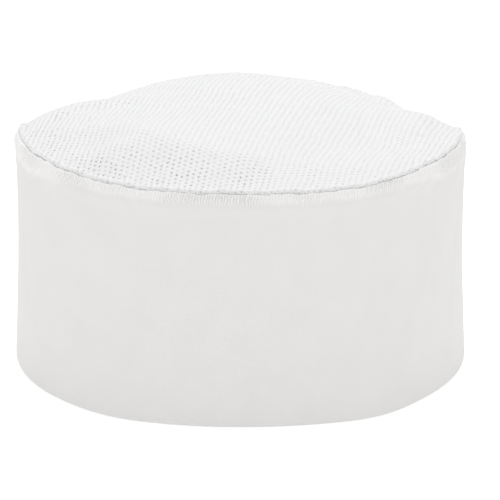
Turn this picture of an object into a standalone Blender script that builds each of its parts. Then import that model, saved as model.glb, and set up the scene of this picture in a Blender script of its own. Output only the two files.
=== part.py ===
"""Chef's skull cap: a white twill band, a soft knit-mesh crown and a hook-and-loop strap at the back.

Metres, +Z up. The cap stands on its hem at Z = 0, its front looks along -Y and its strap is at +Y.
Every layer of the band follows one wall, so its place is an inset from the wall's outer face, a
height, and an angle that runs from +X, at the right of the front view, round by the back.
"""
import math

import bmesh
import bpy
from mathutils import Vector

MM = 0.001

# The head: the oval of the hem's outer face.
HALF_WIDTH = 94.0 * MM
HALF_DEPTH = 98.0 * MM
OVAL_POWER = 2.15
WALL_CENTRE_Y = -2.6 * MM
SEGMENTS = 60

# The wall: rim height every 30 degrees from +X, by the back, the left side and the front.
RIM_HEIGHTS = [h * MM for h in (95.4, 83.0, 88.7, 91.6, 86.3, 84.6, 95.4, 99.5, 99.0, 99.3, 98.3, 99.1)]
WAIST = 1.2 * MM
BACK_LEAN = 6.0 * MM

# The crown: how far it puffs up in the middle, and its soft swells and hollows (x, y, radius, rise).
CROWN_MIDDLE = 111.7 * MM
CROWN_SWELLS = [
    (-42.0 * MM, -58.0 * MM, 26.0 * MM, 6.8 * MM),
    (0.0, -50.0 * MM, 30.0 * MM, 3.0 * MM),
    (52.0 * MM, -25.0 * MM, 36.0 * MM, -5.5 * MM),
    (-75.0 * MM, 0.0, 24.0 * MM, 4.5 * MM),
    (45.0 * MM, 45.0 * MM, 30.0 * MM, -3.4 * MM),
    (78.0 * MM, 12.0 * MM, 22.0 * MM, 4.4 * MM),
    (-40.0 * MM, 50.0 * MM, 26.0 * MM, 1.0 * MM),
]

# Cloth and thread.
CLOTH = 0.7 * MM
STIFFENER = 0.6 * MM
GAP = 0.3 * MM
THREAD_RADIUS = 0.2 * MM
THREAD_SIDES = 5

# Insets of the layers, outside to inside.
STIFFENER_INSET = CLOTH + GAP
LINING_INSET = STIFFENER_INSET + STIFFENER + GAP
LINING_CLOTH = 0.6 * MM
HEM_TURN_INSET = LINING_INSET + LINING_CLOTH + GAP
HEM_TURN_TOP = 12.0 * MM
BAND_THICKNESS = HEM_TURN_INSET + CLOTH
ALLOWANCE_INSET = LINING_INSET + LINING_CLOTH + GAP
ALLOWANCE_DEPTH = 6.0 * MM
CROWN_INSET = ALLOWANCE_INSET + CLOTH + 1.0 * MM
CROWN_LIFT = 1.5 * MM
BINDING_INSET = ALLOWANCE_INSET + CLOTH + GAP
BINDING_CLOTH = 0.6 * MM
SWEATBAND_INSET = BAND_THICKNESS + GAP
SWEATBAND_CLOTH = 1.6 * MM
SWEATBAND_BOTTOM = 0.8 * MM
SWEATBAND_TOP = 34.0 * MM
SWEATBAND_STOP_X = 31.0 * MM

# The notch at the back, an arch in the XZ plane, and the tape round its edge.
NOTCH_HALF_WIDTH = 22.0 * MM
NOTCH_HEIGHT = 42.0 * MM
NOTCH_STEPS = 24
TAPE_WIDTH = 6.0 * MM
TAPE_CLOTH = 0.6 * MM
TAPE_FOOT = 0.5 * MM

# The strap: x places along the back, and heights.
STRAP_BOTTOM = 4.0 * MM
STRAP_TOP = 26.0 * MM
STRAP_ROOT_X = 48.0 * MM
STRAP_HINGE_X = 30.0 * MM
STRAP_END_X = -58.0 * MM
STRAP_CLOTH = 0.5 * MM
STRAP_CORE = 0.4 * MM
STRAP_INSET = -2.7 * MM
STRAP_THICKNESS = 2.0 * (STRAP_CLOTH + GAP) + STRAP_CORE
HINGE_INSET = STRAP_INSET - STRAP_THICKNESS - 0.2 * MM
HINGE_GAP = 0.5 * MM
STRAP_STEPS = 26
ROOT_STEPS = 12
ROOT_BEND = 7.0 * MM
TACK_THICKNESS = 0.5 * MM
TACK_MARGINS = (2.0 * MM, 4.0 * MM)
TACK_STEPS = 2
TAPE_STEPS = 10
STITCH_MARGIN = 2.0 * MM
LOOP_START_X = -30.0 * MM
LOOP_END_X = -67.0 * MM
LOOP_HEIGHTS = (5.0 * MM, 25.0 * MM)
LOOP_THICKNESS = 0.9 * MM
HOOK_START_X = -34.0 * MM
HOOK_END_X = -56.0 * MM
HOOK_HEIGHTS = (8.0 * MM, 22.0 * MM)
HOOK_INSET = -GAP - LOOP_THICKNESS - GAP
HOOK_THICKNESS = 0.9 * MM

# The blank label that hangs inside the back.
LABEL_WIDTH = 30.0 * MM
LABEL_TOP = 76.5 * MM
LABEL_LENGTH = 27.0 * MM
LABEL_THICKNESS = 0.6 * MM
LABEL_INSET = 4.8 * MM
LABEL_THREAD_RISE = 1.3 * MM

TWILL = ("white_twill", (0.86, 0.86, 0.855), 0.82)
MESH = ("white_mesh", (0.90, 0.90, 0.905), 0.75)
INNER = ("white_interfacing", (0.80, 0.80, 0.79), 0.95)
TERRY = ("white_terry", (0.84, 0.84, 0.83), 0.98)
THREAD = ("white_thread", (0.88, 0.88, 0.87), 0.55)
TAPE = ("white_tape", (0.85, 0.85, 0.85), 0.70)
HOOK = ("white_hook_tape", (0.78, 0.78, 0.77), 0.45)
LOOP = ("white_loop_tape", (0.82, 0.82, 0.81), 0.90)
SATIN = ("white_satin", (0.90, 0.90, 0.90), 0.40)


def finish(name, colour, roughness):
    """A Principled material with the finish's colour and roughness."""
    material = bpy.data.materials.new(name)
    material.use_nodes = True
    shader = material.node_tree.nodes["Principled BSDF"]
    shader.inputs["Base Color"].default_value = (*colour, 1.0)
    shader.inputs["Roughness"].default_value = roughness
    shader.inputs["Metallic"].default_value = 0.0
    return material


def add_object(name, mesh, look, origin=Vector()):
    """Turn a bmesh into a named object whose origin is at the given place."""
    bmesh.ops.translate(mesh, verts=mesh.verts, vec=-origin)
    bmesh.ops.recalc_face_normals(mesh, faces=mesh.faces)
    data = bpy.data.meshes.new(name)
    mesh.to_mesh(data)
    mesh.free()
    data.shade_smooth()
    data.set_sharp_from_angle(angle=math.radians(40.0))
    if look:
        data.materials.append(finish(f"{name}_{look[0]}", *look[1:]))
    thing = bpy.data.objects.new(name, data)
    thing.location = origin
    bpy.context.scene.collection.objects.link(thing)
    return thing


def loft(name, sections, look, joined=False, origin=Vector()):
    """A closed solid through equal sections; joined runs the last section into the first."""
    mesh = bmesh.new()
    rows = [[mesh.verts.new(point) for point in section] for section in sections]
    following = rows[1:] + rows[:1] if joined else rows[1:]
    for row, after in zip(rows, following):
        for i, corner in enumerate(row):
            j = (i + 1) % len(row)
            mesh.faces.new((corner, row[j], after[j], after[i]))
    if not joined:
        mesh.faces.new(rows[0][::-1])
        mesh.faces.new(rows[-1])
    return add_object(name, mesh, look, origin)


# The wall that every layer follows.

def outline(angle):
    """Point and outward normal of the oval at an angle."""
    cos, sin = math.cos(angle), math.sin(angle)
    wide = abs(cos / HALF_WIDTH) ** OVAL_POWER
    deep = abs(sin / HALF_DEPTH) ** OVAL_POWER
    radius = (wide + deep) ** (-1.0 / OVAL_POWER)
    x, y = radius * cos, radius * sin
    slope_x = math.copysign(abs(x / HALF_WIDTH) ** (OVAL_POWER - 1.0) / HALF_WIDTH, x)
    slope_y = math.copysign(abs(y / HALF_DEPTH) ** (OVAL_POWER - 1.0) / HALF_DEPTH, y)
    return Vector((x, y + WALL_CENTRE_Y, 0.0)), Vector((slope_x, slope_y, 0.0)).normalized()


def rim_height(angle):
    """Height of the crown seam: a smooth closed curve through the rim heights."""
    place = (angle / math.tau) % 1.0 * len(RIM_HEIGHTS)
    first = int(place)
    t = place - first
    a, b, c, d = (RIM_HEIGHTS[(first + step) % len(RIM_HEIGHTS)] for step in (-1, 0, 1, 2))
    bend = 2.0 * a - 5.0 * b + 4.0 * c - d
    twist = 3.0 * b - a - 3.0 * c + d
    return b + 0.5 * t * (c - a + t * (bend + t * twist))


def wall_point(angle, height, inset=0.0):
    """Point at a height on the wall, moved in horizontally from the outer face by the inset."""
    point, normal = outline(angle)
    level = min(max(height / rim_height(angle), 0.0), 1.0)
    point = point - normal * (inset + WAIST * math.sin(math.pi * level))
    lean = BACK_LEAN * (level * max(0.0, math.sin(angle))) ** 2
    return Vector((point.x, point.y - lean, height))


def back_angle(x, height=0.0, inset=0.0):
    """Angle at which the back of the wall has the given x."""
    low, high = math.radians(10.0), math.radians(170.0)
    for _ in range(40):
        middle = (low + high) / 2.0
        if wall_point(middle, height, inset).x > x:
            low = middle
        else:
            high = middle
    return low


def back_point(x, height, inset=0.0):
    """Point on the back of the wall with the given x."""
    return wall_point(back_angle(x, height, inset), height, inset)


def turn(start=0.0, stop=math.tau, steps=SEGMENTS):
    """Angles from start to stop, the last one left out when they go all the way round."""
    whole = math.isclose(stop - start, math.tau)
    return [start + (stop - start) * i / steps for i in range(steps if whole else steps + 1)]


def ring(name, profile, look, angles=None):
    """A band round the wall. A profile point is (inset, share of the rim height, rise above that)."""
    joined = angles is None
    sections = []
    for angle in angles or turn():
        rim = rim_height(angle)
        sections.append([wall_point(angle, share * rim + rise, inset) for inset, share, rise in profile])
    return loft(name, sections, look, joined)


def thread_profile(inset, share, rise):
    """A thread's round section, as a ring profile."""
    points = []
    for i in range(THREAD_SIDES):
        a = math.tau * i / THREAD_SIDES
        points.append((inset + THREAD_RADIUS * math.cos(a), share, rise + THREAD_RADIUS * math.sin(a)))
    return points


def layer_profile(inset, cloth, bottom, below_rim, shares=(0.25, 0.5, 0.75)):
    """A flat layer of cloth from a height above the hem to a distance below the rim."""
    levels = [(0.0, bottom), *((share, 0.0) for share in shares), (1.0, -below_rim)]
    outer = [(inset, *level) for level in levels]
    inner = [(inset + cloth, *level) for level in reversed(levels)]
    return outer + inner


def open_arc(stop_x):
    """Angles round the front, from one side of the notch to the other."""
    return turn(back_angle(-stop_x), back_angle(stop_x) + math.tau, SEGMENTS - 6)


# The band.

def outer_band():
    """Twill shell: up the outside, turned in at the crown seam, and turned up inside at the hem."""
    side = [(0.0, share, 0.0) for share in (0.25, 0.5, 0.75)]
    outer = [(0.0, 0.0, 0.0), *side, (0.0, 1.0, -5.0 * MM), (0.2 * MM, 1.0, -2.4 * MM)]
    lip = [(0.8 * MM, 1.0, -0.7 * MM), (1.8 * MM, 1.0, -0.2 * MM), (1.8 * MM, 1.0, -0.9 * MM)]
    inner = [(CLOTH + 0.4 * MM, 1.0, -1.6 * MM), (CLOTH, 1.0, -5.0 * MM)]
    inner += [(CLOTH, share, 0.0) for _, share, _ in reversed(side)]
    hem = [
        (CLOTH, 0.0, CLOTH),
        (HEM_TURN_INSET, 0.0, CLOTH),
        (HEM_TURN_INSET, 0.0, HEM_TURN_TOP),
        (BAND_THICKNESS, 0.0, HEM_TURN_TOP),
        (BAND_THICKNESS, 0.0, 0.0),
    ]
    return ring("outer_band", outer + lip + inner + hem, TWILL)


def band_interfacing():
    """Stiffener between the twill and the lining."""
    profile = layer_profile(STIFFENER_INSET, STIFFENER, CLOTH + GAP, 4.0 * MM)
    return ring("band_interfacing", profile, INNER)


def band_lining():
    """Inner facing, from inside the hem to just under the crown seam."""
    profile = layer_profile(LINING_INSET, LINING_CLOTH, CLOTH + GAP, 1.9 * MM)
    return ring("band_lining", profile, TWILL)


def notch_outline(out=0.0, steps=NOTCH_STEPS, foot=0.0):
    """Places (x, z) along the notch's arch, moved out from its edge."""
    first = math.asin(foot / NOTCH_HEIGHT)
    places = []
    for i in range(steps + 1):
        a = first + (math.pi - 2.0 * first) * i / steps
        away = Vector((math.cos(a) / NOTCH_HALF_WIDTH, math.sin(a) / NOTCH_HEIGHT)).normalized()
        x = NOTCH_HALF_WIDTH * math.cos(a) + out * away.x
        z = NOTCH_HEIGHT * math.sin(a) + out * away.y
        places.append((x, z))
    return places


def notch_cutter():
    """Prism of the arch that opens the back of the band."""
    below, inside, outside = -5.0 * MM, 30.0 * MM, 130.0 * MM
    arch = [(NOTCH_HALF_WIDTH, below), *notch_outline(), (-NOTCH_HALF_WIDTH, below)]
    sections = [[Vector((x, y, z)) for x, z in arch] for y in (inside, outside)]
    cutter = loft("notch_cutter", sections, None)
    cutter.hide_render = True
    cutter.display_type = "WIRE"
    return cutter


def cut_notch(layers):
    """Open every layer of the band with the one cutter."""
    cutter = notch_cutter()
    for layer in layers:
        cut = layer.modifiers.new("notch", "BOOLEAN")
        cut.operation = "DIFFERENCE"
        cut.solver = "EXACT"
        cut.object = cutter


def notch_sections(profile):
    """Sections along the arch. A profile point is (inset, distance out from the notch's edge)."""
    columns = []
    for inset, out in profile:
        places = notch_outline(out, foot=TAPE_FOOT)
        columns.append([back_point(x, max(z, TAPE_FOOT), inset) for x, z in places])
    return [list(section) for section in zip(*columns)]


def notch_binding():
    """Tape folded over the notch's edge, outside and inside."""
    outer_face, inner_face = -GAP - TAPE_CLOTH, BAND_THICKNESS + GAP + TAPE_CLOTH
    profile = [
        (outer_face, -GAP - TAPE_CLOTH),
        (inner_face, -GAP - TAPE_CLOTH),
        (inner_face, TAPE_WIDTH),
        (inner_face - TAPE_CLOTH, TAPE_WIDTH),
        (inner_face - TAPE_CLOTH, -GAP),
        (outer_face + TAPE_CLOTH, -GAP),
        (outer_face + TAPE_CLOTH, TAPE_WIDTH),
        (outer_face, TAPE_WIDTH),
    ]
    return loft("notch_binding", notch_sections(profile), TAPE)


def notch_binding_thread():
    """Line of stitching along the outside of the notch's tape."""
    middle = -GAP - TAPE_CLOTH - GAP - THREAD_RADIUS
    out = TAPE_WIDTH - 1.2 * MM
    profile = [(inset, rise) for inset, _, rise in thread_profile(middle, 0.0, out)]
    return loft("notch_binding_thread", notch_sections(profile), THREAD)


# The crown.

CROWN_EDGE = [
    (ALLOWANCE_INSET + CLOTH, 0.25 * MM),
    (ALLOWANCE_INSET + CLOTH, -ALLOWANCE_DEPTH),
    (ALLOWANCE_INSET, -ALLOWANCE_DEPTH),
    (ALLOWANCE_INSET, 0.0),
    (1.9 * MM, 0.15 * MM),
    (1.5 * MM, 0.6 * MM),
    (1.9 * MM, 1.15 * MM),
]
CROWN_SHARES = (0.14, 0.28, 0.42, 0.56, 0.68, 0.79, 0.9, 1.0)


def crown_point(angle, share):
    """Point on top of the crown, at a share of the way from its middle to its edge."""
    edge = wall_point(angle, rim_height(angle) + CROWN_LIFT, CROWN_INSET)
    point = Vector((0.0, WALL_CENTRE_Y, edge.z)).lerp(edge, share)
    point.z += (CROWN_MIDDLE - edge.z) * (1.0 - share ** 2)
    for x, y, radius, rise in CROWN_SWELLS:
        near = math.exp(-((point.x - x) ** 2 + (point.y - y) ** 2) / radius ** 2)
        point.z += rise * near * (1.0 - share ** 10)
    return point


def crown_mesh():
    """Soft dome of knit mesh, rolled over the seam and turned down inside as its allowance."""
    down = Vector((0.0, 0.0, -CLOTH))
    mesh = bmesh.new()
    rows = []
    for angle in turn():
        under = [crown_point(angle, share) + down for share in CROWN_SHARES]
        edge = [wall_point(angle, rim_height(angle) + rise, inset) for inset, rise in CROWN_EDGE]
        over = [crown_point(angle, share) for share in reversed(CROWN_SHARES)]
        rows.append([mesh.verts.new(point) for point in under + edge + over])
    top = mesh.verts.new(crown_point(0.0, 0.0))
    bottom = mesh.verts.new(top.co + down)
    for row, after in zip(rows, rows[1:] + rows[:1]):
        for i in range(len(row) - 1):
            mesh.faces.new((row[i], row[i + 1], after[i + 1], after[i]))
        mesh.faces.new((row[-1], top, after[-1]))
        mesh.faces.new((bottom, row[0], after[0]))
    return add_object("crown_mesh", mesh, MESH)


def crown_seam():
    """The seam's own thread, the tape over its allowance, and the tape's stitching."""
    ring("crown_seam_thread", thread_profile(2.3 * MM, 1.0, -0.55 * MM), THREAD)
    top, bottom = (1.0, -1.5 * MM), (1.0, -ALLOWANCE_DEPTH - 0.5 * MM)
    inner = BINDING_INSET + BINDING_CLOTH
    tape = [(BINDING_INSET, *bottom), (BINDING_INSET, *top), (inner, *top), (inner, *bottom)]
    ring("crown_seam_binding", tape, TAPE)
    thread = thread_profile(inner + GAP + THREAD_RADIUS, 1.0, -4.5 * MM)
    ring("crown_binding_thread", thread, THREAD)


# The sweatband.

def sweatband():
    """Terry strip inside the hem, open at the notch, with a line of stitching near each edge."""
    arc = open_arc(SWEATBAND_STOP_X)
    inner = SWEATBAND_INSET + SWEATBAND_CLOTH
    soft = 0.4 * MM
    strip = [
        (SWEATBAND_INSET, 0.0, SWEATBAND_BOTTOM),
        (SWEATBAND_INSET, 0.0, SWEATBAND_TOP),
        (inner - soft, 0.0, SWEATBAND_TOP),
        (inner, 0.0, SWEATBAND_TOP - soft),
        (inner, 0.0, SWEATBAND_BOTTOM + soft),
        (inner - soft, 0.0, SWEATBAND_BOTTOM),
    ]
    ring("sweatband", strip, TERRY, arc)
    on_face = inner + GAP + THREAD_RADIUS
    for name, height in (("lower", SWEATBAND_BOTTOM + 2.5 * MM), ("upper", SWEATBAND_TOP - 2.5 * MM)):
        ring(f"sweatband_{name}_thread", thread_profile(on_face, 0.0, height), THREAD, arc)


# The strap at the back.

def back_arc(start_x, stop_x, steps=STRAP_STEPS):
    """Angles along the back between two x places."""
    return turn(back_angle(start_x), back_angle(stop_x), steps)


def flat_profile(inset, thickness, heights):
    """A flat strip's section between two heights, as a ring profile."""
    low, high = heights
    corners = ((inset, low), (inset, high), (inset - thickness, high), (inset - thickness, low))
    return [(place, 0.0, height) for place, height in corners]


def stitched_frame(name, inset, xs, heights, origin=Vector()):
    """A closed line of thread, stitched as a rectangle on the back."""
    low, high = heights
    left, right = back_angle(xs[0]), back_angle(xs[1])
    middle, steps = (low + high) / 2.0, STRAP_STEPS
    along = [left + (right - left) * i / steps for i in range(steps + 1)]
    route = [(a, low) for a in along] + [(right, middle)]
    route += [(a, high) for a in reversed(along)] + [(left, middle)]
    sections = []
    for i, (angle, height) in enumerate(route):
        before, after = route[i - 1], route[(i + 1) % len(route)]
        ends = [wall_point(*place, inset) for place in (before, after)]
        forward = (ends[1] - ends[0]).normalized()
        across = outline(angle)[1]
        aside = forward.cross(across).normalized()
        centre = wall_point(angle, height, inset)
        turns = [math.tau * k / THREAD_SIDES for k in range(THREAD_SIDES)]
        sections.append([centre + THREAD_RADIUS * (across * math.cos(t) + aside * math.sin(t)) for t in turns])
    return loft(name, sections, THREAD, joined=True, origin=origin)


def hinge_point():
    """Middle of the line where the strap bends, which runs up the band just outside the strap."""
    angle = back_angle(STRAP_HINGE_X)
    low = wall_point(angle, STRAP_BOTTOM, HINGE_INSET)
    high = wall_point(angle, STRAP_TOP, HINGE_INSET)
    return (low + high) / 2.0


def strap_root():
    """The strap's sewn end, which rises from the band to the level of the strap."""
    sections = []
    for angle in back_arc(STRAP_ROOT_X, STRAP_HINGE_X + HINGE_GAP, ROOT_STEPS):
        x = wall_point(angle, 0.0).x
        t = min(max((x - STRAP_HINGE_X) / ROOT_BEND, 0.0), 1.0)
        inset = STRAP_INSET + (-GAP - STRAP_INSET) * t * t * (3.0 - 2.0 * t)
        profile = flat_profile(inset, STRAP_THICKNESS, (STRAP_BOTTOM, STRAP_TOP))
        sections.append([wall_point(angle, height, place) for place, _, height in profile])
    loft("closure_strap_root", sections, TWILL)
    tack_inset = -GAP - STRAP_THICKNESS - GAP
    heights = (STRAP_BOTTOM + STITCH_MARGIN, STRAP_TOP - STITCH_MARGIN)
    arc = back_arc(STRAP_ROOT_X - TACK_MARGINS[0], STRAP_ROOT_X - TACK_MARGINS[1], TACK_STEPS)
    ring("strap_bar_tack", flat_profile(tack_inset, TACK_THICKNESS, heights), THREAD, arc)


def strap():
    """Folded twill, open along its top edge, with its stiffener, hook tape and stitching."""
    pivot = hinge_point()
    outer, inner = STRAP_INSET - STRAP_THICKNESS, STRAP_INSET
    folded = [
        (outer, STRAP_TOP),
        (outer, STRAP_BOTTOM),
        (inner, STRAP_BOTTOM),
        (inner, STRAP_TOP),
        (inner - STRAP_CLOTH, STRAP_TOP),
        (inner - STRAP_CLOTH, STRAP_BOTTOM + STRAP_CLOTH),
        (outer + STRAP_CLOTH, STRAP_BOTTOM + STRAP_CLOTH),
        (outer + STRAP_CLOTH, STRAP_TOP),
    ]
    arc = back_arc(STRAP_HINGE_X, STRAP_END_X)
    sections = [[wall_point(angle, height, inset) for inset, height in folded] for angle in arc]
    loft("closure_strap", sections, TWILL, origin=pivot)

    core_heights = (STRAP_BOTTOM + STRAP_CLOTH + GAP, STRAP_TOP - 0.5 * MM)
    core = flat_profile(inner - STRAP_CLOTH - GAP, STRAP_CORE, core_heights)
    arc = back_arc(STRAP_HINGE_X - 0.5 * MM, STRAP_END_X + 0.5 * MM)
    sections = [[wall_point(angle, height, inset) for inset, _, height in core] for angle in arc]
    loft("closure_strap_interfacing", sections, INNER, origin=pivot)

    tape = flat_profile(HOOK_INSET, HOOK_THICKNESS, HOOK_HEIGHTS)
    arc = back_arc(HOOK_START_X, HOOK_END_X, TAPE_STEPS)
    sections = [[wall_point(angle, height, inset) for inset, _, height in tape] for angle in arc]
    loft("strap_hook_tape", sections, HOOK, origin=pivot)

    heights = (STRAP_BOTTOM + STITCH_MARGIN, STRAP_TOP - STITCH_MARGIN)
    xs = (STRAP_HINGE_X - 3.0 * MM, STRAP_END_X + STITCH_MARGIN)
    stitched_frame("strap_edge_thread", outer - GAP - THREAD_RADIUS, xs, heights, pivot)


def loop_tape():
    """Loop tape sewn on the band where the strap closes."""
    arc = back_arc(LOOP_START_X, LOOP_END_X, TAPE_STEPS)
    ring("loop_tape", flat_profile(-GAP, LOOP_THICKNESS, LOOP_HEIGHTS), LOOP, arc)
    margin = 1.3 * MM
    heights = (LOOP_HEIGHTS[0] + margin, LOOP_HEIGHTS[1] - margin)
    xs = (LOOP_START_X - margin, LOOP_END_X + margin)
    stitched_frame("loop_tape_thread", -GAP - LOOP_THICKNESS - GAP - THREAD_RADIUS, xs, heights)


# The label.

def care_label():
    """Blank satin label that hangs straight down from a line of stitching."""
    pivot = back_point(0.0, LABEL_TOP, LABEL_INSET)
    half, thick = LABEL_WIDTH / 2.0, LABEL_THICKNESS / 2.0
    sections = []
    for drop in (0.4 * MM, LABEL_LENGTH):
        z = pivot.z - drop
        corners = ((-half, -thick), (half, -thick), (half, thick), (-half, thick))
        sections.append([Vector((x, pivot.y + y, z)) for x, y in corners])
    loft("care_label", sections, SATIN, origin=pivot)
    sections = []
    for x in (-half + MM, half - MM):
        turns = [math.tau * k / THREAD_SIDES for k in range(THREAD_SIDES)]
        ring_points = [(THREAD_RADIUS * math.cos(t), THREAD_RADIUS * math.sin(t)) for t in turns]
        centre = Vector((x, pivot.y, pivot.z + LABEL_THREAD_RISE))
        sections.append([centre + Vector((0.0, y, z)) for y, z in ring_points])
    loft("care_label_thread", sections, THREAD)


def build():
    """Model every piece of the cap in an empty scene."""
    for thing in list(bpy.data.objects):
        bpy.data.objects.remove(thing, do_unlink=True)
    cut_notch([outer_band(), band_interfacing(), band_lining()])
    notch_binding()
    notch_binding_thread()
    crown_mesh()
    crown_seam()
    sweatband()
    strap_root()
    strap()
    loop_tape()
    care_label()


build()
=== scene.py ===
"""Looks of the chef's skull cap: twill band, openwork knit crown, and the strap at the back."""
import math

import bmesh
import bpy
import numpy as np
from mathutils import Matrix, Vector


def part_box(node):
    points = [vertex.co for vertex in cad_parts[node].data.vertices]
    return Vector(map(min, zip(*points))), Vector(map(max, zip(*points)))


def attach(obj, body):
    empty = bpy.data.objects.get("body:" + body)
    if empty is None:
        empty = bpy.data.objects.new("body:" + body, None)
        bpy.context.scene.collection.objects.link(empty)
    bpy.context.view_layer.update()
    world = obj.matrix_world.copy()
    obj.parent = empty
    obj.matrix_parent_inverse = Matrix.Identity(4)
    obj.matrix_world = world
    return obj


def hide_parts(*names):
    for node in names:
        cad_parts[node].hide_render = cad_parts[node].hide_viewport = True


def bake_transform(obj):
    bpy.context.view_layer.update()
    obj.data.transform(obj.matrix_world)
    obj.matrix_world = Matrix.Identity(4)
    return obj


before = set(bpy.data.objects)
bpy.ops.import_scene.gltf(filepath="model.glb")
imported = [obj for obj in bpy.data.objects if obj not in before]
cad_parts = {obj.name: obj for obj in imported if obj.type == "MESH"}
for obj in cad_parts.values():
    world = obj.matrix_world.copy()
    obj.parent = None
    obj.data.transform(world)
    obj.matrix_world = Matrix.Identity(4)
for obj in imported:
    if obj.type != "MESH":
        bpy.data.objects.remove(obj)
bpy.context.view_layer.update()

MM = 0.001

# The wall that every layer follows, as the CAD makes it.
BAND_LOW, BAND_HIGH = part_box("outer_band")
HALF_WIDTH = (BAND_HIGH.x - BAND_LOW.x) / 2.0
# The notch cuts away the rearmost part of the band, so its box doesn't give the depth.
HALF_DEPTH = 98.0 * MM
CENTRE_Y = BAND_LOW.y + HALF_DEPTH
OVAL_POWER = 2.15
# Every 30 degrees, from the right-hand side round by the back. The left-hand side is 1.6 mm
# higher than in the CAD.
RIM_HEIGHTS = np.array([95.4, 83.0, 88.7, 91.6, 86.3, 84.6, 97.0, 99.5, 99.0, 99.3, 98.3, 99.1]) * MM
WAIST = 1.2 * MM
BACK_LEAN = 6.0 * MM
CROWN_MIDDLE = 111.7 * MM
CROWN_INSET = 4.5 * MM
CROWN_LIFT = 1.5 * MM
CROWN_SWELLS = (
    # x, y, radius, rise, all in millimetres
    (-42.0, -58.0, 26.0, 6.8),
    (0.0, -50.0, 30.0, 3.0),
    (52.0, -25.0, 36.0, -5.5),
    (-75.0, 0.0, 24.0, 4.5),
    (45.0, 45.0, 30.0, -3.4),
    (78.0, 12.0, 22.0, 4.4),
    (-40.0, 50.0, 26.0, 1.0),
)
NOTCH_HALF_WIDTH = 22.0 * MM
NOTCH_HEIGHT = 42.0 * MM
BAND_THICKNESS = 3.5 * MM
HEM_FLARES = (
    # direction and its spread in degrees, how far the hem stands out there in millimetres
    (303.0, 13.0, 3.2),
    (238.0, 12.0, 1.5),
)


def outline(angle):
    """Points and outward normals of the oval at some angles."""
    cos, sin = np.cos(angle), np.sin(angle)
    wide = np.abs(cos / HALF_WIDTH) ** OVAL_POWER
    deep = np.abs(sin / HALF_DEPTH) ** OVAL_POWER
    radius = (wide + deep) ** (-1.0 / OVAL_POWER)
    x, y = radius * cos, radius * sin
    slope_x = np.sign(x) * np.abs(x / HALF_WIDTH) ** (OVAL_POWER - 1.0) / HALF_WIDTH
    slope_y = np.sign(y) * np.abs(y / HALF_DEPTH) ** (OVAL_POWER - 1.0) / HALF_DEPTH
    length = np.hypot(slope_x, slope_y)
    return x, y + CENTRE_Y, slope_x / length, slope_y / length


def outwards(angle):
    """Level directions that point out of the wall at some angles."""
    _, _, nx, ny = outline(angle)
    return np.stack([nx, ny, np.zeros_like(nx)], -1)


def rim_height(angle):
    """Height of the crown seam."""
    place = (angle / math.tau) % 1.0 * len(RIM_HEIGHTS)
    first = np.floor(place).astype(int)
    t = place - first
    a, b, c, d = (RIM_HEIGHTS[(first + step) % len(RIM_HEIGHTS)] for step in (-1, 0, 1, 2))
    bend = 2.0 * a - 5.0 * b + 4.0 * c - d
    twist = 3.0 * b - a - 3.0 * c + d
    return b + 0.5 * t * (c - a + t * (bend + t * twist))


def hem_flare(angle):
    """How far the hem stands out at the front, where the cap sits on it."""
    out = np.maximum(0.0, -np.sin(angle)) ** 3
    turn = np.degrees(angle) % 360.0
    for direction, spread, reach in HEM_FLARES:
        out = out + reach * np.exp(-((turn - direction) / spread) ** 2)
    return out * MM


def wall(angle, height, inset=0.0):
    """Points on the wall, moved in from its outer face."""
    angle, height, inset = np.broadcast_arrays(angle, height, inset)
    x, y, nx, ny = outline(angle)
    level = np.clip(height / rim_height(angle), 0.0, 1.0)
    move = inset + WAIST * np.sin(math.pi * level) - hem_flare(angle) * (1.0 - level) ** 2
    lean = BACK_LEAN * (level * np.maximum(0.0, np.sin(angle))) ** 2
    return np.stack([x - nx * move, y - ny * move - lean, height], -1)


def back_angle(x, height=0.0, inset=0.0):
    """Angles at which the back of the wall has the given x."""
    x, height, inset = (np.array(v, float) for v in np.broadcast_arrays(x, height, inset))
    low, high = np.full(x.shape, math.radians(10.0)), np.full(x.shape, math.radians(170.0))
    for _ in range(40):
        middle = (low + high) / 2.0
        right = wall(middle, height, inset)[..., 0] > x
        low, high = np.where(right, middle, low), np.where(right, high, middle)
    return low


def ripple(t, seed):
    """A smooth irregular wave between about -1 and 1, the same for the same seed."""
    made = np.random.default_rng(seed)
    total = 0.0
    for rate in (1.0, 1.7, 2.9, 4.3):
        total = total + np.sin(rate * t + made.uniform(0.0, math.tau)) / (0.6 + rate)
    return total


def smooth(t):
    """A smooth step from 0 to 1."""
    t = np.clip(t, 0.0, 1.0)
    return t * t * (3.0 - 2.0 * t)


# Meshes.

def finish_mesh(name, mesh, material, sharp=None):
    """Turn a mesh into a shaded object."""
    shaped = bmesh.new()
    shaped.from_mesh(mesh)
    bmesh.ops.recalc_face_normals(shaped, faces=shaped.faces)
    shaped.to_mesh(mesh)
    shaped.free()
    mesh.shade_smooth()
    if sharp:
        mesh.set_sharp_from_angle(angle=math.radians(sharp))
    mesh.materials.append(material)
    thing = bpy.data.objects.new(name, mesh)
    bpy.context.scene.collection.objects.link(thing)
    return thing


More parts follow.
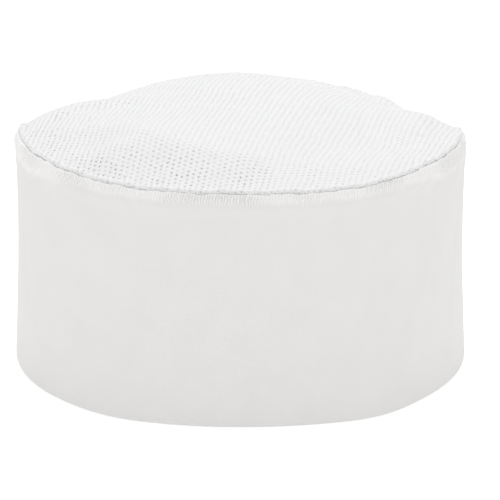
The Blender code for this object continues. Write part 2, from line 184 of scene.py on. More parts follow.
def skin(name, points, material, joined=False, sharp=None):
    """Surface through a grid of points: closed round the second axis, and along the first if joined."""
    na, nb = points.shape[:2]
    a, b = np.meshgrid(np.arange(na if joined else na - 1), np.arange(nb), indexing="ij")
    a2, b2 = (a + 1) % na, (b + 1) % nb
    faces = np.stack([a * nb + b, a * nb + b2, a2 * nb + b2, a2 * nb + b], -1).reshape(-1, 4).tolist()
    if not joined:
        faces += [list(range(nb)), list(range((na - 1) * nb, na * nb))]
    mesh = bpy.data.meshes.new(name)
    mesh.from_pydata(points.reshape(-1, 3).tolist(), [], faces)
    along = np.linalg.norm(np.roll(points, -1, 0) - points, axis=2).mean(1)
    across = np.linalg.norm(np.roll(points, -1, 1) - points, axis=2)
    u = np.append(0.0, np.cumsum(along))
    v = np.concatenate([np.zeros((na, 1)), np.cumsum(across, 1)], 1)
    corners = np.stack([u[a], v[a, b], u[a], v[a, b + 1],
                        u[a + 1], v[a2, b + 1], u[a + 1], v[a2, b]], -1).reshape(-1, 2)
    if not joined:
        corners = np.concatenate([corners, np.zeros((2 * nb, 2))])
    layer = mesh.uv_layers.new(name="cloth")
    layer.data.foreach_set("uv", corners.astype(np.float32).ravel())
    return finish_mesh(name, mesh, material, sharp)


def tubes(name, lines, radius, material, sides=6):
    """Many short round tubes. Lines has the shape (tube, point, 3)."""
    count, steps = lines.shape[:2]
    forward = np.gradient(lines, axis=1)
    forward /= np.linalg.norm(forward, axis=2, keepdims=True)
    helper = np.zeros_like(forward)
    helper[..., 2] = 1.0
    helper[np.abs(forward[..., 2]) > 0.9] = (1.0, 0.0, 0.0)
    aside = np.cross(forward, helper)
    aside /= np.linalg.norm(aside, axis=2, keepdims=True)
    above = np.cross(forward, aside)
    turn = math.tau * np.arange(sides) / sides
    width = np.full(steps, radius)
    width[[0, -1]] = radius * 0.55
    spread = aside[:, :, None] * np.cos(turn)[:, None] + above[:, :, None] * np.sin(turn)[:, None]
    points = lines[:, :, None] + spread * width[:, None, None]
    i, j, k = np.meshgrid(np.arange(count), np.arange(steps - 1), np.arange(sides), indexing="ij")
    k2 = (k + 1) % sides
    start, after = (i * steps + j) * sides, (i * steps + j + 1) * sides
    faces = np.stack([start + k, start + k2, after + k2, after + k], -1).reshape(-1, 4).tolist()
    for tube in range(count):
        first, last = tube * steps * sides, ((tube + 1) * steps - 1) * sides
        faces += [list(range(first, first + sides)), list(range(last, last + sides))]
    mesh = bpy.data.meshes.new(name)
    mesh.from_pydata(points.reshape(-1, 3).tolist(), [], faces)
    return finish_mesh(name, mesh, material)


def stitches(name, route, away, pitch, radius, material, closed=False, sink=0.35 * MM):
    """A row of stitches along a route: short threads that rise out of the cloth and dive back in."""
    if closed:
        route, away = np.append(route, route[:1], 0), np.append(away, away[:1], 0)
    far = np.append(0.0, np.cumsum(np.linalg.norm(np.diff(route, axis=0), axis=1)))
    count = max(int(far[-1] / pitch), 1)
    starts = np.arange(count) * far[-1] / count
    gap = 0.08
    shares = np.linspace(gap, 1.0 - gap, 7)
    places = starts[:, None] + shares * far[-1] / count
    line = np.stack([np.interp(places, far, route[:, i]) for i in range(3)], -1)
    out = np.stack([np.interp(places, far, away[:, i]) for i in range(3)], -1)
    rise = np.maximum(np.sin(math.pi * (shares - gap) / (1.0 - 2.0 * gap)), 0.0) ** 0.45
    arch = -sink + (sink + 0.1 * radius) * rise
    return tubes(name, line + out * arch[:, None], radius, material)


# Materials.

def principled(name, colour, roughness, sheen=0.0, sheen_roughness=0.5, specular=0.25):
    """A node material with a Principled shader: the material, its nodes, links and shader."""
    material = bpy.data.materials.new(name)
    material.use_nodes = True
    nodes = material.node_tree.nodes
    shader = nodes["Principled BSDF"]
    shader.inputs["Base Color"].default_value = (*colour, 1.0)
    shader.inputs["Roughness"].default_value = roughness
    shader.inputs["Sheen Weight"].default_value = sheen
    shader.inputs["Sheen Roughness"].default_value = sheen_roughness
    shader.inputs["Specular IOR Level"].default_value = specular
    return material, nodes, material.node_tree.links, shader


def remap(nodes, links, source, start, end, low, high):
    """Turn a value's range from start to end into low to high, smoothly, and hold it beyond."""
    node = nodes.new("ShaderNodeMapRange")
    node.interpolation_type = "SMOOTHSTEP"
    for socket, value in zip(("From Min", "From Max", "To Min", "To Max"), (start, end, low, high)):
        node.inputs[socket].default_value = value
    links.new(source, node.inputs["Value"])
    return node.outputs["Result"]


def maths(nodes, links, operation, first, second):
    """A Math node between two sockets, or a number and a socket."""
    node = nodes.new("ShaderNodeMath")
    node.operation = operation
    for socket, value in zip(node.inputs, (first, second)):
        if isinstance(value, float):
            socket.default_value = value
        else:
            links.new(value, socket)
    return node.outputs["Value"]


def tint(nodes, links, shader, source, darker):
    """Darken the colour where a texture's value is low."""
    base = shader.inputs["Base Color"]
    mix = nodes.new("ShaderNodeMix")
    mix.data_type, mix.blend_type = "RGBA", "MULTIPLY"
    mix.inputs[0].default_value = 1.0
    mix.inputs[6].default_value = base.default_value
    if base.is_linked:
        links.new(base.links[0].from_socket, mix.inputs[6])
    links.new(remap(nodes, links, source, 0.0, 1.0, darker, 1.0), mix.inputs[7])
    links.new(mix.outputs[2], base)


def bump(nodes, links, shader, source, distance, before=None):
    """Raise the surface by a texture's value, on top of an earlier bump."""
    node = nodes.new("ShaderNodeBump")
    node.inputs["Strength"].default_value = 1.0
    node.inputs["Distance"].default_value = distance
    links.new(source, node.inputs["Height"])
    if before:
        links.new(before.outputs["Normal"], node.inputs["Normal"])
    links.new(node.outputs["Normal"], shader.inputs["Normal"])
    return node


def bands(nodes, links, pitch, angle, distortion=0.0, coordinates="UV"):
    """A wave texture of straight ribs with a real pitch, at an angle to the cloth's length."""
    place = nodes.new("ShaderNodeTexCoord")
    mapping = nodes.new("ShaderNodeMapping")
    mapping.inputs["Rotation"].default_value = (0.0, 0.0, math.radians(angle))
    wave = nodes.new("ShaderNodeTexWave")
    wave.inputs["Scale"].default_value = math.tau / (20.0 * pitch)
    wave.inputs["Distortion"].default_value = distortion
    wave.inputs["Detail"].default_value = 1.0
    wave.inputs["Detail Scale"].default_value = 2.0
    links.new(place.outputs[coordinates], mapping.inputs["Vector"])
    links.new(mapping.outputs["Vector"], wave.inputs["Vector"])
    return wave.outputs["Fac"]


def noise(nodes, links, size, detail=2.0, coordinates="Object"):
    """A noise texture whose blotches have a real size."""
    place = nodes.new("ShaderNodeTexCoord")
    texture = nodes.new("ShaderNodeTexNoise")
    texture.inputs["Scale"].default_value = 1.0 / size
    texture.inputs["Detail"].default_value = detail
    links.new(place.outputs[coordinates], texture.inputs["Vector"])
    return texture.outputs["Fac"]


def gathers_and_shade(nodes, links):
    """Nearness to the seam, for painted shade under it, and fine uneven ridges across the cloth's edge
    that fade out below it, with painted shade in their dips.
    """
    place = nodes.new("ShaderNodeTexCoord")
    on_cloth, on_cap = nodes.new("ShaderNodeSeparateXYZ"), nodes.new("ShaderNodeSeparateXYZ")
    links.new(place.outputs["UV"], on_cloth.inputs["Vector"])
    links.new(place.outputs["Object"], on_cap.inputs["Vector"])
    ragged = maths(nodes, links, "MULTIPLY", 4.0 * MM, noise(nodes, links, 7.0 * MM, 1.0))
    wider = remap(nodes, links, on_cap.outputs["Y"], -80.0 * MM, -35.0 * MM, 0.5 * MM, 5.0 * MM)
    behind = remap(nodes, links, on_cap.outputs["Y"], 10.0 * MM, 60.0 * MM, 0.0, 5.0 * MM)
    depth = maths(nodes, links, "ADD", maths(nodes, links, "ADD", on_cloth.outputs["Y"], ragged), behind)
    depth = maths(nodes, links, "SUBTRACT", depth, wider)
    # Painted shade: a ragged strip under the seam, its depth changing round the cap, where the band's
    # colour is darkened.
    near = remap(nodes, links, depth, 4.2 * MM, 9.4 * MM, 1.0, 0.0)
    where = remap(nodes, links, noise(nodes, links, 26.0 * MM, 1.0), 0.38, 0.6, 0.5, 1.0)
    ridges = bands(nodes, links, 1.2 * MM, -9.0, 5.0)
    dips = maths(nodes, links, "SUBTRACT", 1.0, ridges)
    strength = maths(nodes, links, "MULTIPLY", near, where)
    return near, maths(nodes, links, "SUBTRACT", 1.0, maths(nodes, links, "MULTIPLY", dips, strength))


def twill(name, colour, pitch=0.6 * MM, angle=-27.0, gathered_and_shaded=False):
    """Fine steep twill: diagonal ribs, and the slubs and shade of brushed cotton."""
    material, nodes, links, shader = principled(name, colour, 0.85, 0.05, specular=0.08)
    ribs = bands(nodes, links, pitch, angle, 0.6)
    slubs = noise(nodes, links, 1.6 * MM, 3.0)
    tint(nodes, links, shader, noise(nodes, links, 14.0 * MM, 3.0), 0.965)
    last = bump(nodes, links, shader, slubs, 0.02 * MM)
    last = bump(nodes, links, shader, ribs, 0.02 * MM, last)
    if gathered_and_shaded:
        near, folds_and_shade = gathers_and_shade(nodes, links)
        # Painted shade: the band's colour is darkened in the strip under the crown seam.
        tint(nodes, links, shader, near, 0.87)
        # Painted shade in the dips between the gathers' ridges; the same ridges also raise the surface
        # with a bump.
        tint(nodes, links, shader, folds_and_shade, 0.81)
        bump(nodes, links, shader, folds_and_shade, 0.12 * MM, last)
    return material


def knit(name, colour):
    """Filament knit: fine twisted yarn with a slight gloss."""
    material, nodes, links, shader = principled(name, colour, 0.62, 0.25)
    tint(nodes, links, shader, noise(nodes, links, 5.0 * MM, 3.0), 0.96)
    bump(nodes, links, shader, noise(nodes, links, 0.35 * MM, 2.0), 0.06 * MM)
    return material


def terry(name, colour):
    """Looped towelling."""
    material, nodes, links, shader = principled(name, colour, 0.95, 0.5, 0.7)
    tint(nodes, links, shader, noise(nodes, links, 1.2 * MM, 2.0), 0.88)
    bump(nodes, links, shader, noise(nodes, links, 0.8 * MM, 2.0), 0.5 * MM)
    return material


def ribbed(name, colour, pitch, angle, depth, roughness=0.7):
    """Tape or ribbon woven with fine ribs."""
    material, nodes, links, shader = principled(name, colour, roughness, 0.15)
    ribs = bands(nodes, links, pitch, angle)
    # Painted shade: the colour is darker in the grooves between the ribs.
    tint(nodes, links, shader, ribs, 0.94)
    bump(nodes, links, shader, ribs, depth)
    return material


def yarn(name, colour):
    """Twisted sewing thread."""
    material, nodes, links, shader = principled(name, colour, 0.5)
    tint(nodes, links, shader, noise(nodes, links, 0.3 * MM, 1.0), 0.85)
    bump(nodes, links, shader, noise(nodes, links, 0.2 * MM, 1.0), 0.04 * MM)
    return material


def felted(name, colour):
    """Bonded fibres pressed flat."""
    material, nodes, links, shader = principled(name, colour, 0.95)
    tint(nodes, links, shader, noise(nodes, links, 0.9 * MM, 4.0), 0.9)
    bump(nodes, links, shader, noise(nodes, links, 0.5 * MM, 3.0), 0.08 * MM)
    return material


BAND = twill("band_twill", (0.884, 0.877, 0.866), gathered_and_shaded=True)
STRAP = twill("strap_twill", (0.80, 0.794, 0.782))
LINING = twill("lining_twill", (0.80, 0.80, 0.795), 0.7 * MM, 30.0)
KNIT = knit("crown_knit", (0.787, 0.788, 0.789))
INNER = felted("interfacing", (0.80, 0.80, 0.79))
TERRY = terry("terry", (0.84, 0.84, 0.83))
THREAD = yarn("thread", (0.84, 0.84, 0.84))
TAPE = ribbed("cotton_tape", (0.82, 0.816, 0.806), 0.55 * MM, 0.0, 0.06 * MM)
HOOKS = ribbed("hook_tape", (0.78, 0.78, 0.77), 0.6 * MM, 90.0, 0.05 * MM, 0.45)
LOOPS = felted("loop_tape", (0.83, 0.826, 0.816))
SATIN = ribbed("label_satin", (0.88, 0.88, 0.88), 0.3 * MM, 90.0, 0.015 * MM, 0.38)


def settle(piece, body, slot, *nodes):
    """Put a piece on the body that it rides on, and hide the CAD nodes that it stands for. The slot is not
    used.
    """
    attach(piece, body)
    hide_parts(*nodes)


# The band.

ROUND = np.linspace(0.0, math.tau, 720, endpoint=False)


def band_relief(angle, height):
    """How far the cloth stands out from the wall: slow waves, and puckers under the seam."""
    along = angle * (HALF_WIDTH + HALF_DEPTH) / 2.0
    below = rim_height(angle) - height
    level = np.clip(height / rim_height(angle), 0.0, 1.0)
    slow = 0.45 * MM * ripple(3.0 * angle + 1.2 * level, 4) * np.sin(math.pi * level)
    drape = 0.22 * MM * ripple(along / (9.0 * MM) - height / (26.0 * MM), 9) * np.sin(math.pi * level)
    strength = 0.5 + 0.5 * ripple(6.0 * angle, 12)
    phase = math.tau * along / (2.8 * MM) + 1.6 * ripple(along / (7.0 * MM), 21) - below / (4.0 * MM)
    pucker = 0.16 * MM * strength * np.sin(phase) * np.exp(-below / (5.0 * MM))
    pucker = pucker * np.clip(below / (0.8 * MM), 0.0, 1.0)
    slack = np.abs(np.cos(angle)) ** 4 * np.exp(-((below - 6.0 * MM) / (6.0 * MM)) ** 2)
    creases = 0.3 * MM * slack * ripple(along / (3.5 * MM) + below / (2.2 * MM), 71)
    swell = 0.25 * MM * np.exp(-((below - 5.5 * MM) / (3.0 * MM)) ** 2)
    return slow + drape + pucker + creases + swell


def notch_cutter():
    """Prism of the arch that opens the back of the band."""
    a = np.linspace(0.0, math.pi, 90)
    foot = -5.0 * MM
    x = np.concatenate([[NOTCH_HALF_WIDTH], NOTCH_HALF_WIDTH * np.cos(a), [-NOTCH_HALF_WIDTH]])
    z = np.concatenate([[foot], NOTCH_HEIGHT * np.sin(a), [foot]])
    points = np.stack([np.stack([x, np.full_like(x, y), z], -1) for y in (30.0 * MM, 130.0 * MM)])
    return skin("notch_cutter", points, INNER)


def open_notch(layers):
    """Cut the notch out of the band's layers."""
    cutter = notch_cutter()
    for layer in layers:
        cut = layer.modifiers.new("notch", "BOOLEAN")
        cut.operation, cut.solver, cut.object = "DIFFERENCE", "EXACT", cutter
        with bpy.context.temp_override(object=layer, active_object=layer):
            bpy.ops.object.modifier_apply(modifier=cut.name)
        layer.data.shade_smooth()
        layer.data.set_sharp_from_angle(angle=math.radians(60.0))
    bpy.data.objects.remove(cutter)


LIP = (
    # inset, drop below the rim, in millimetres, from inside the seam over to the face
    (2.1, 0.7), (2.05, 0.2), (1.85, 0.02), (1.5, 0.08), (1.15, 0.32), (0.87, 0.7), (0.62, 1.25),
    (0.42, 2.0), (0.24, 3.0), (0.12, 4.1),
)
HEM = (
    # inset, height, in millimetres, from the face under the edge and up the turning
    (0.02, 1.1), (0.15, 0.5), (0.45, 0.15), (1.0, 0.0), (2.6, 0.0), (3.2, 0.08), (3.45, 0.35),
    (3.5, 0.8), (3.5, 11.4), (3.45, 11.85), (3.15, 12.0), (2.85, 11.85), (2.8, 11.4),
    (2.8, 0.75), (0.7, 0.75), (0.7, 1.6),
)


def band_shell():
    """Twill shell, turned in at the crown seam and folded at the hem."""
    angle = ROUND[:, None]
    rim = rim_height(angle)
    wave = seam_wave(angle)
    lip_inset, lip_drop = (np.array(v) * MM for v in zip(*LIP))
    gape = 0.15 * MM * np.clip(ripple(17.0 * angle, 52) - 0.25, 0.0, 1.0)
    lip_height = rim - lip_drop - gape * (lip_inset > 1.2 * MM) + wave
    lip = wall(angle, lip_height, lip_inset - band_relief(angle, lip_height))
    shares = np.concatenate([np.linspace(0.945, 0.86, 14), np.linspace(0.845, 0.02, 34)])
    side = wall(angle, shares * rim, -band_relief(angle, shares * rim))
    hem_inset, hem_height = (np.array(v) * MM for v in zip(*HEM))
    turned_up = wall(angle, hem_height, hem_inset)
    below_lip = np.array([5.0, 2.6]) * MM
    inner_height = np.concatenate([np.linspace(0.04, 0.9, 16) * rim, rim - below_lip], 1)
    cloth = 0.7 * MM
    inner = wall(angle, inner_height, cloth - np.minimum(band_relief(angle, inner_height), 0.0))
    return skin("band_shell", np.concatenate([lip, side, turned_up, inner], 1), BAND, joined=True)


def band_layer(name, inset, thickness, below_rim, material):
    """A flat layer inside the band."""
    angle = ROUND[::2, None]
    foot, rim = 1.0 * MM, rim_height(angle) - below_rim
    shares = np.linspace(0.0, 1.0, 24)
    up = foot + shares * (rim - foot)
    place = np.repeat([inset, inset + thickness], len(shares))
    points = wall(angle, np.concatenate([up, up[:, ::-1]], 1), place)
    return skin(name, points, material, joined=True, sharp=50.0)


def band():
    """The shell, its stiffener and its facing, with the notch cut through them."""
    shell = band_shell()
    stiffener = band_layer("band_stiffener", 1.0 * MM, 0.6 * MM, 4.0 * MM, INNER)
    facing = band_layer("band_facing", 1.9 * MM, 0.6 * MM, 1.9 * MM, LINING)
    open_notch((shell, stiffener, facing))
    settle(shell, "cap", "band_twill", "outer_band")
    settle(stiffener, "cap", "interfacing", "band_interfacing")
    settle(facing, "cap", "lining_twill", "band_lining")


def arch_sections(profile, steps):
    """Points along the notch's arch for a profile of (inset, distance out from its edge)."""
    foot = 0.5 * MM
    first = math.asin(foot / NOTCH_HEIGHT)
    a = np.linspace(first, math.pi - first, steps)[:, None]
    inset, out = (np.array(v) for v in zip(*profile))
    away_x, away_z = np.cos(a) / NOTCH_HALF_WIDTH, np.sin(a) / NOTCH_HEIGHT
    length = np.hypot(away_x, away_z)
    x = NOTCH_HALF_WIDTH * np.cos(a) + out * away_x / length
    z = np.maximum(NOTCH_HEIGHT * np.sin(a) + out * away_z / length, foot)
    return wall(back_angle(x, z, inset), z, inset)


def notch_tape():
    """Cotton tape folded over the notch's edge, and its stitching."""
    cloth, gap, wide = 0.6 * MM, 0.3 * MM, 6.0 * MM
    outer, inner = -gap - cloth, BAND_THICKNESS + gap + cloth
    bend = np.linspace(0.0, math.pi, 9)
    middle, reach = (outer + inner) / 2.0, (inner - outer) / 2.0
    over = [(middle - reach * math.cos(t), -0.9 * MM * math.sin(t) ** 0.7) for t in bend]
    under = [(middle + (reach - cloth) * math.cos(t), -0.3 * MM * math.sin(t) ** 0.7) for t in bend]
    rungs = np.linspace(1.2, 5.7, 5) * MM
    profile = [(outer, out) for out in rungs[::-1]] + over + [(inner, out) for out in rungs]
    profile += [(inner - 0.3 * MM, wide)] + [(inner - cloth, out) for out in rungs[::-1]]
    profile += under + [(outer + cloth, out) for out in rungs] + [(outer + 0.3 * MM, wide)]
    tape = skin("notch_tape", arch_sections(profile, 150), TAPE, sharp=60.0)
    settle(tape, "cap", "cotton_tape", "notch_binding")
    row_at = 4.8 * MM
    line = arch_sections([(outer - 0.08 * MM, row_at)], 150)[:, 0]
    away = arch_sections([(outer - 1.0 * MM, row_at)], 150)[:, 0] - line
    away /= np.linalg.norm(away, axis=1, keepdims=True)
    row = stitches("notch_stitches", line, away, 2.6 * MM, 0.19 * MM, THREAD)
    settle(row, "cap", "thread", "notch_binding_thread")


# The crown.

FOLDS = (
    # x, y of one end, x, y of the other end, half width, rise, all in millimetres
    (-74.0, -30.0, -54.0, -46.0, 8.0, 1.3),
    (-67.0, -16.0, -50.0, -42.0, 6.0, 0.9),
    (-60.0, -46.0, -30.0, -74.0, 5.0, -0.8),
    (-50.0, -68.0, 2.0, -80.0, 9.0, 2.4),
    (-30.0, -84.0, 0.0, -88.0, 5.0, 0.8),
    (-40.0, -58.0, 2.0, -76.0, 8.0, 1.5),
    (-62.0, -54.0, -34.0, -80.0, 6.0, -1.4),
    (-74.0, -14.0, -44.0, -6.0, 6.0, -1.6),
    (-86.0, -6.0, -58.0, 20.0, 6.0, -0.5),
    (84.0, -8.0, 86.0, 10.0, 7.0, -1.2),
    (50.0, -14.0, 58.0, -36.0, 7.0, -1.0),
    (67.0, -22.0, 79.0, 12.0, 7.0, 1.5),
    (32.0, -76.0, 60.0, -67.0, 8.0, 1.2),
    (-46.0, 50.0, -40.0, 66.0, 5.0, -1.8),
    (-12.0, 6.0, 30.0, -24.0, 9.0, 0.8),
    (-10.0, 26.0, 20.0, 30.0, 30.0, 1.5),
    (34.0, -48.0, 62.0, -42.0, 13.0, -1.6),
    (58.0, 34.0, 60.0, 40.0, 12.0, 3.6),
    (61.0, 38.0, 64.0, 52.0, 9.0, 2.8),
    (76.0, 10.0, 77.0, 12.0, 8.0, -1.2),
)
KNIT_SLACK = (
    # x, y, radius in millimetres, change in the size of the knit's holes
    (-44.0, -52.0, 22.0, -0.22),
    (-14.0, -62.0, 18.0, -0.25),
    (47.0, -62.0, 26.0, -0.2),
    (-14.0, -86.0, 22.0, 0.2),
)


def seam_wave(angle):
    """How far the crown seam wavers up and down."""
    return 0.28 * MM * ripple(26.0 * angle, 41) + 0.1 * MM * ripple(90.0 * angle, 43)


def crown_height(x, y):
    """Height of the crown over some places, how far they are past its edge, and their angle."""
    angle = np.arctan2(y - CENTRE_Y, x)
    for _ in range(4):
        edge = wall(angle, rim_height(angle) + CROWN_LIFT, CROWN_INSET)
        angle = angle + np.arctan2(y - CENTRE_Y, x) - np.arctan2(edge[..., 1] - CENTRE_Y, edge[..., 0])
    share = np.hypot(x, y - CENTRE_Y) / np.hypot(edge[..., 0], edge[..., 1] - CENTRE_Y)
    inner = np.minimum(share, 1.0)
    z = edge[..., 2] + (CROWN_MIDDLE - edge[..., 2]) * (1.0 - inner ** 2) + seam_wave(angle) * inner ** 10
    soft = 1.0 - inner ** 10
    for at_x, at_y, radius, rise in CROWN_SWELLS:
        near = ((x / MM - at_x) ** 2 + (y / MM - at_y) ** 2) / radius ** 2
        z = z + rise * MM * np.exp(-near) * soft
    for x0, y0, x1, y1, width, rise in FOLDS:
        run = np.array([x1 - x0, y1 - y0])
        px, py = x / MM - x0, y / MM - y0
        t = np.clip((px * run[0] + py * run[1]) / (run @ run), 0.0, 1.0)
        away = (px - t * run[0]) ** 2 + (py - t * run[1]) ** 2
        z = z + rise * MM * np.exp(-away / width ** 2) * soft
    beyond = np.maximum(share - 1.0, 0.0) * np.hypot(edge[..., 0], edge[..., 1] - CENTRE_Y)
    return z, beyond, angle


ROLL_REACH = np.array([0.0, 2.2, 2.75, 3.4, 3.8, 4.3, 5.2]) * MM
ROLL_INSET = np.array([4.5, 2.3, 1.9, 1.62, 1.75, 2.0, 2.8]) * MM
ROLL_RISE = np.array([1.5, 1.46, 1.1, 0.3, -0.08, -0.3, -0.6]) * MM
ROLL_TILT = np.radians([90.0, 80.0, 45.0, 0.0, -35.0, -60.0, -60.0])


def crown_place(x, y, rise):
    """Points on the knit: on the crown, and past its edge rolled over into the seam."""
    z, beyond, angle = crown_height(x, y)
    inset, lift = np.interp(beyond, ROLL_REACH, ROLL_INSET), np.interp(beyond, ROLL_REACH, ROLL_RISE)
    tilt = np.interp(beyond, ROLL_REACH, ROLL_TILT)
    _, _, nx, ny = outline(angle)
    rolled = wall(angle, rim_height(angle) + seam_wave(angle) + lift, inset)
    rolled = rolled + rise[:, None] * np.stack([nx * np.cos(tilt), ny * np.cos(tilt), np.sin(tilt)], -1)
    near_edge = np.stack([x, y, z + rise], -1)
    return np.where((beyond > 0.0)[:, None], rolled, near_edge)


WALE, COURSE = 2.37 * MM, 2.08 * MM
WALE_TURN, COURSE_LEAN = math.radians(13.0), math.radians(11.0)
CELL_U = np.array([2.0, 1.0, 0.0, -1.0, -2.0, -1.0, 0.0, 1.0]) * WALE / 3.0
CELL_V = np.array([0.0, 1.0, 1.0, 1.0, 0.0, -1.0, -1.0, -1.0]) * COURSE / 2.0
CELL_RISE = np.array([0.02, 0.02, 0.0, 0.02, 0.02, 0.02, 0.0, 0.02]) * MM
HOLE_BEND = 0.95
HOLE_TURN = np.array([0.0, HOLE_BEND, math.pi / 2, math.pi - HOLE_BEND,
                      math.pi, math.pi + HOLE_BEND, -math.pi / 2, -HOLE_BEND])
HOLE_U, HOLE_V = 0.23 * MM * np.cos(HOLE_TURN), 0.27 * MM * np.sin(HOLE_TURN)


def knit_to_cap(across, along):
    """Places on the cap of places on the flat knit."""
    x = across * math.cos(WALE_TURN) + along * math.sin(COURSE_LEAN)
    y = -across * math.sin(WALE_TURN) + along * math.cos(COURSE_LEAN) + CENTRE_Y
    return x, y


def hole_sizes(made, across, along, x, y, share):
    """How open each hole is: more towards the seam, less where the knit is slack."""
    near_seam = np.clip((share - 0.72) / 0.23, 0.0, 1.0)
    size = made.uniform(0.6, 1.3, across.shape) * (0.88 - 0.19 * np.tanh(across / (40.0 * MM)))
    size = size * (0.84 + 0.28 * smooth(near_seam))
    patches = ripple(across / (5.0 * MM) + 1.5 * ripple(along / (8.0 * MM), 64), 63)
    size = size * (1.0 + (0.15 * patches - 0.06) * near_seam)
    for at_x, at_y, radius, change in KNIT_SLACK:
        near = ((x / MM - at_x) ** 2 + (y / MM - at_y) ** 2) / radius ** 2
        size = size * (1.0 + change * np.exp(-near))
    return size


def crown_net():
    """Openwork knit: staggered columns of small holes, with raised wales between the columns."""
    count = int(110.0 * MM / COURSE) + 2
    steps = np.arange(-count, count + 1)
    column, row = np.meshgrid(steps, steps, indexing="ij")
    across = column * WALE
    along = (row + 0.5 * (column % 2)) * COURSE
    x, y = knit_to_cap(across, along)
    _, beyond, angle = crown_height(x, y)
    edge = wall(angle, rim_height(angle), CROWN_INSET)
    share = np.hypot(x, y - CENTRE_Y) / np.hypot(edge[..., 0], edge[..., 1] - CENTRE_Y)
    kept = beyond < 4.2 * MM
    across, along, x, y, share = (v[kept][:, None] for v in (across, along, x, y, share))
    made = np.random.default_rng(5)
    size = hole_sizes(made, across, along, x, y, share)
    hole_u = HOLE_U + made.normal(0.0, 0.1 * MM, across.shape)
    hole_v = HOLE_V + made.normal(0.0, 0.1 * MM, across.shape)

    def ring(u, v, rise):
        """Eight points round each hole."""
        return np.stack([across + u, along + v, np.broadcast_to(rise, (len(across), 8))], -1)

    outer = ring(CELL_U, CELL_V, CELL_RISE)
    lip = ring(hole_u * size, hole_v * size, -0.02 * MM)
    under = ring(hole_u * size * 1.1, hole_v * size * 1.1, -0.26 * MM)
    keys = np.round(outer[..., :2].reshape(-1, 2) / (0.05 * MM)).astype(np.int64)
    _, first, shared = np.unique(keys, axis=0, return_index=True, return_inverse=True)
    corners = outer.reshape(-1, 3)[first]
    shared = shared.reshape(-1, 8)
    u, v, rise = np.concatenate([corners, lip.reshape(-1, 3), under.reshape(-1, 3)]).T
    u = u + 0.22 * MM * ripple(v / (5.0 * MM) + u / (31.0 * MM), 61)
    v = v + 0.22 * MM * ripple(u / (6.0 * MM) - v / (23.0 * MM), 62)
    points = crown_place(*knit_to_cap(u, v), rise)
    a, b = np.arange(8), (np.arange(8) + 1) % 8
    lip_at = len(corners) + np.arange(len(across))[:, None] * 8
    under_at = lip_at + len(across) * 8
    top = np.stack([shared[:, a], shared[:, b], lip_at + b, lip_at + a], -1).reshape(-1, 4)
    sides = np.stack([lip_at + a, lip_at + b, under_at + b, under_at + a], -1).reshape(-1, 4)
    mesh = bpy.data.meshes.new("crown_net")
    mesh.from_pydata(points.tolist(), [], np.concatenate([top, sides]).tolist())
    net = finish_mesh("crown_net", mesh, KNIT)
    settle(net, "cap", "crown_knit_mesh", "crown_mesh")


def ring_profile(profile, angle):
    """Points all round the wall for a profile of (inset, rise above the rim), in millimetres."""
    angle = angle[:, None]
    inset, rise = (np.array(v) * MM for v in zip(*profile))
    return wall(angle, rim_height(angle) + seam_wave(angle) + rise, inset)


def crown_rim():
    """Edge of the knit, rolled over the seam and turned down inside as its allowance."""
    over = list(zip(ROLL_INSET[:0:-1] / MM + 0.24, ROLL_RISE[:0:-1] / MM - 0.14))
    profile = [(3.5, -6.0), (2.8, -6.0), (2.8, -3.0), (2.9, -0.9)] + over
    profile += [(3.4, 1.36), (4.5, 1.1), (5.2, 0.9), (5.2, 0.7), (4.2, 0.6), (3.7, 0.2),
                (3.5, -0.6), (3.5, -3.0)]
    rim = skin("crown_rim", ring_profile(profile, ROUND), KNIT, joined=True)
    settle(rim, "cap", "crown_knit_mesh", "crown_mesh")


def ring_stitches(name, node, inset, rise, pitch, radius, inward=False):
    """A row of stitches all round, on a face at an inset."""
    line = wall(ROUND, rim_height(ROUND) + seam_wave(ROUND) + rise, inset)
    out = outwards(ROUND) * (-1.0 if inward else 1.0)
    row = stitches(name, line, out, pitch, radius, THREAD, closed=True)
    settle(row, "cap", "thread", node)


def crown_seam():
    """The seam's stitches, and inside it the tape over the allowance with its own stitches."""
    ring_stitches("crown_stitches", "crown_seam_thread", 2.15 * MM, -0.1 * MM, 2.7 * MM, 0.17 * MM)
    profile = [(4.5, -6.5), (4.5, -4.0), (4.5, -1.5), (4.8, -1.35), (5.1, -1.5), (5.15, -2.6), (5.2, -4.0),
               (5.15, -5.4), (5.1, -6.5), (4.8, -6.65)]
    tape = skin("crown_binding", ring_profile(profile, ROUND[::2]), TAPE, joined=True)
    settle(tape, "cap", "cotton_tape", "crown_seam_binding")
    ring_stitches("crown_binding_stitches", "crown_binding_thread", 5.28 * MM, -4.5 * MM,
                  3.0 * MM, 0.18 * MM, inward=True)


# The sweatband.

